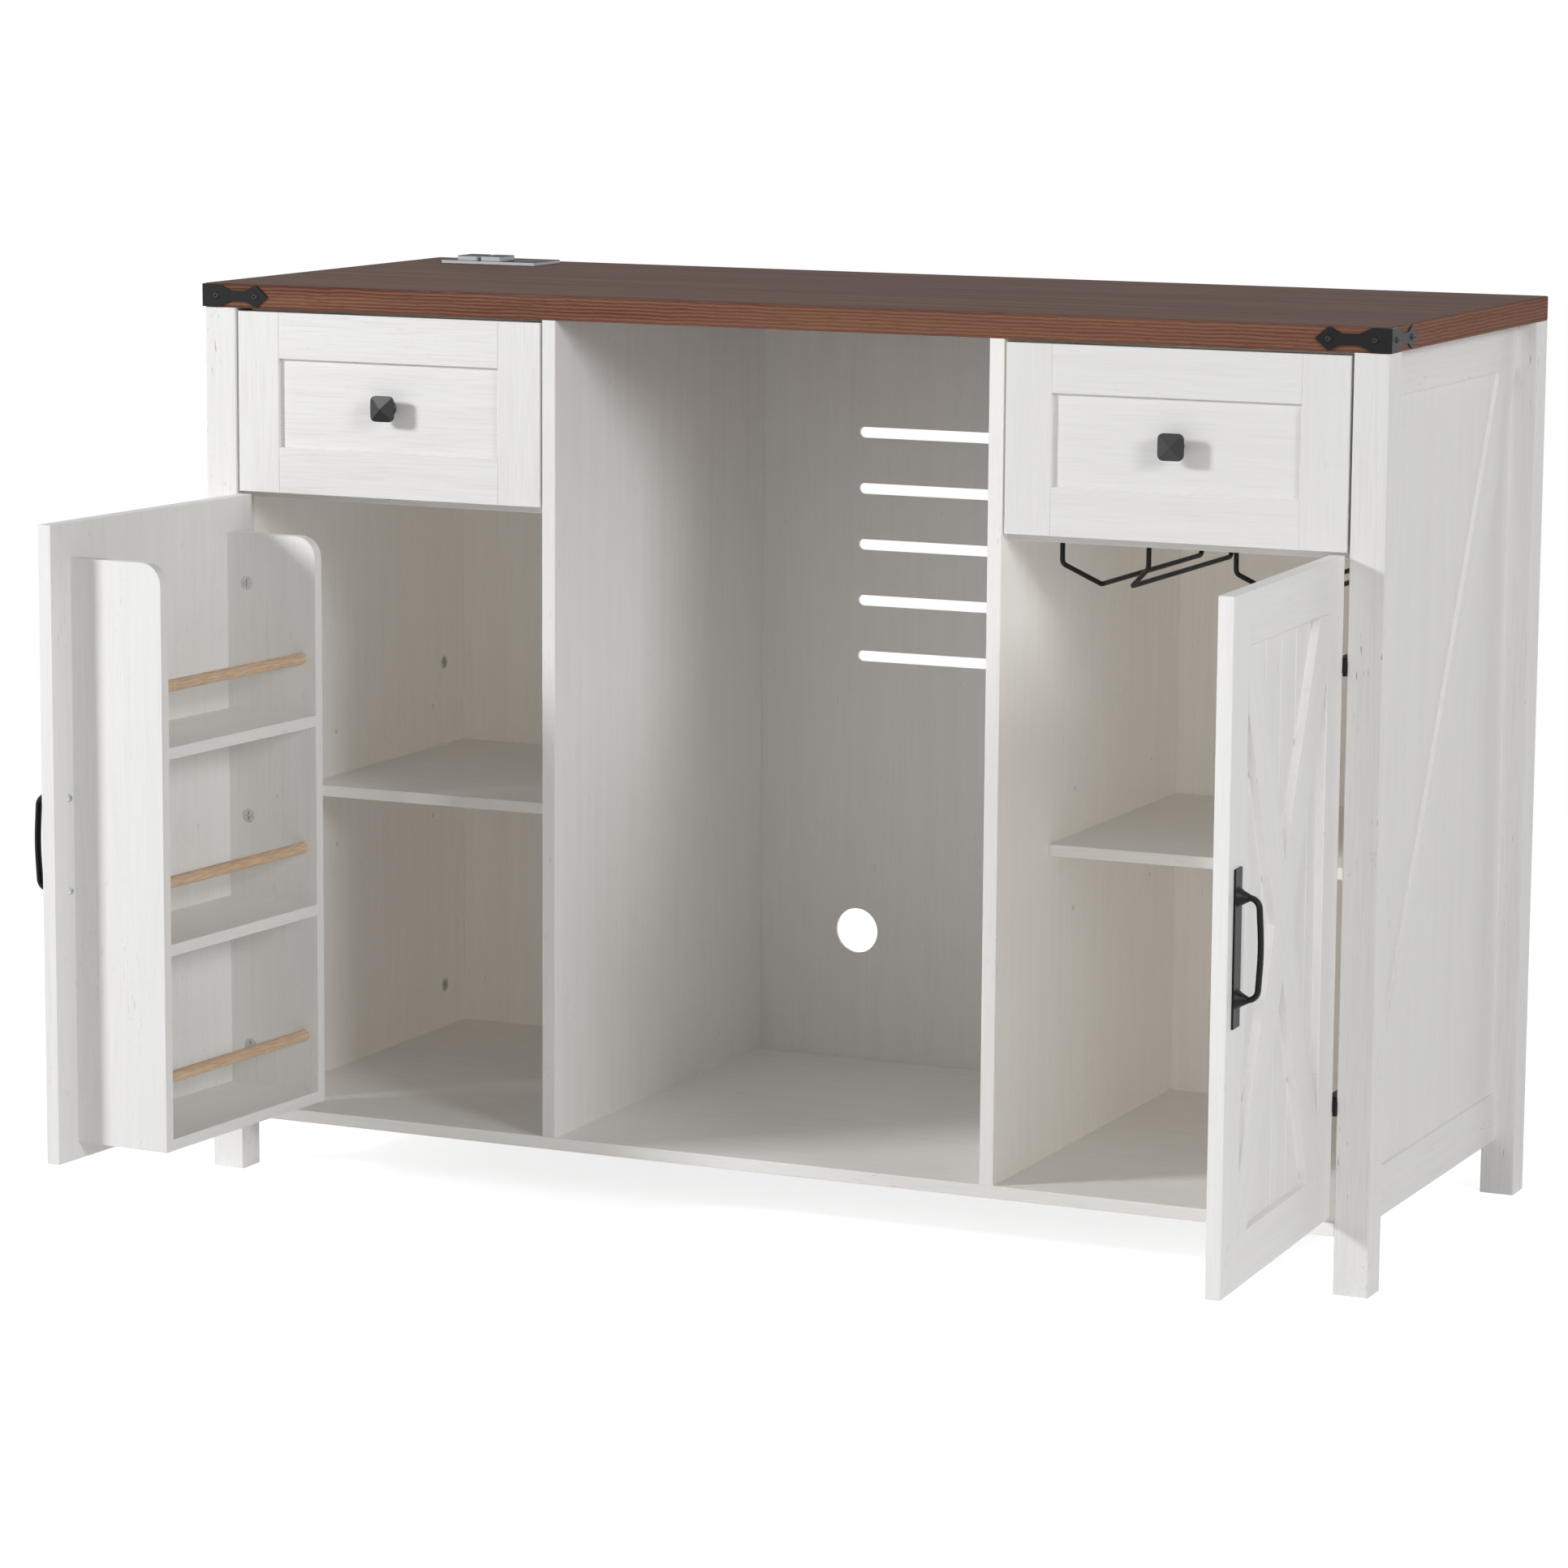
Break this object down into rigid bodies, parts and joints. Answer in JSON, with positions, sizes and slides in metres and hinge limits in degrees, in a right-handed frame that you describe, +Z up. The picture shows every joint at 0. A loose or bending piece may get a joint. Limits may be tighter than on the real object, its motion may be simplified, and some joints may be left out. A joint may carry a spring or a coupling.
{
  "type": "coffee bar cabinet",
  "caption": "White farmhouse coffee bar cabinet with a brown wood top, open appliance bay, hinged doors, drawers, door spice rack and hanging stemware wires.",
  "frame": {"origin": "centre of the cabinet's footprint at floor level", "axes": "+X to the right seen from the front, +Y to the rear, +Z up"},
  "size_m": [1.3033, 0.87, 0.9485],
  "materials": {
    "white_pine": "white brushed paint over pine grain, light distressing",
    "brown_top": "brown stained rustic wood grain, satin",
    "black_iron": "matt black, lightly textured",
    "zinc": "zinc plated",
    "natural_wood": "bare turned hardwood",
    "outlet_black": "matt black moulding",
    "outlet_silver": "satin silver",
    "runner_steel": "galvanised sheet"
  },
  "bodies": {
    "cabinet": {"left_front_post": "white_pine", "left_rear_post": "white_pine", "right_front_post": "white_pine", "right_rear_post": "white_pine", "left_side_panel": "white_pine", "right_side_panel": "white_pine", "bottom_panel": "white_pine", "left_divider": "white_pine", "right_divider": "white_pine", "left_drawer_deck": "white_pine", "right_drawer_deck": "white_pine", "left_back_panel": "white_pine", "centre_back_panel": "white_pine", "right_back_panel": "white_pine", "left_shelf": "white_pine", "right_shelf": "white_pine", "tabletop": "brown_top", "left_corner_strap": "black_iron", "right_corner_strap": "black_iron", "strap_screws": "black_iron", "stemware_wires": "black_iron", "hinge_arms": "black_iron", "shelf_pins": "zinc", "panel_cams": "zinc", "outlet_plate": "outlet_black", "outlet_housing": "outlet_black", "outlet_sockets": "outlet_silver", "cabinet_runners": "runner_steel"},
    "left_door": {"left_door_panel": "white_pine", "left_door_frame": "white_pine", "left_door_brace": "white_pine", "rack_near_board": "white_pine", "rack_far_board": "white_pine", "rack_shelves": "white_pine", "left_door_handle": "black_iron", "left_handle_bolts": "zinc", "left_hinge_cups": "zinc", "rack_cams": "zinc", "rack_dowels": "natural_wood"},
    "right_door": {"right_door_panel": "white_pine", "right_door_frame": "white_pine", "right_door_brace": "white_pine", "right_door_handle": "black_iron", "right_handle_bolts": "zinc", "right_hinge_cups": "zinc"},
    "left_drawer": {"left_drawer_front_panel": "white_pine", "left_drawer_front_frame": "white_pine", "left_drawer_sides": "white_pine", "left_drawer_back": "white_pine", "left_drawer_bottom": "white_pine", "left_drawer_knob": "black_iron", "left_drawer_runners": "runner_steel"},
    "right_drawer": {"right_drawer_front_panel": "white_pine", "right_drawer_front_frame": "white_pine", "right_drawer_sides": "white_pine", "right_drawer_back": "white_pine", "right_drawer_bottom": "white_pine", "right_drawer_knob": "black_iron", "right_drawer_runners": "runner_steel"}
  },
  "joints": [
    {"name": "left_door_hinge", "type": "hinge", "parent": "cabinet", "child": "left_door", "pos_m": [-0.6066, -0.2595, 0.3995], "axis": [0, 0, 1], "range_deg": [-11, 94]},
    {"name": "right_door_hinge", "type": "hinge", "parent": "cabinet", "child": "right_door", "pos_m": [0.6066, -0.2595, 0.3995], "axis": [0, 0, 1], "range_deg": [-92.5, 12.5]},
    {"name": "left_drawer_slide", "type": "slide", "parent": "cabinet", "child": "left_drawer", "axis": [0, -1, 0], "range_m": [0, 0.26]},
    {"name": "right_drawer_slide", "type": "slide", "parent": "cabinet", "child": "right_drawer", "axis": [0, -1, 0], "range_m": [0, 0.26]}
  ]
}
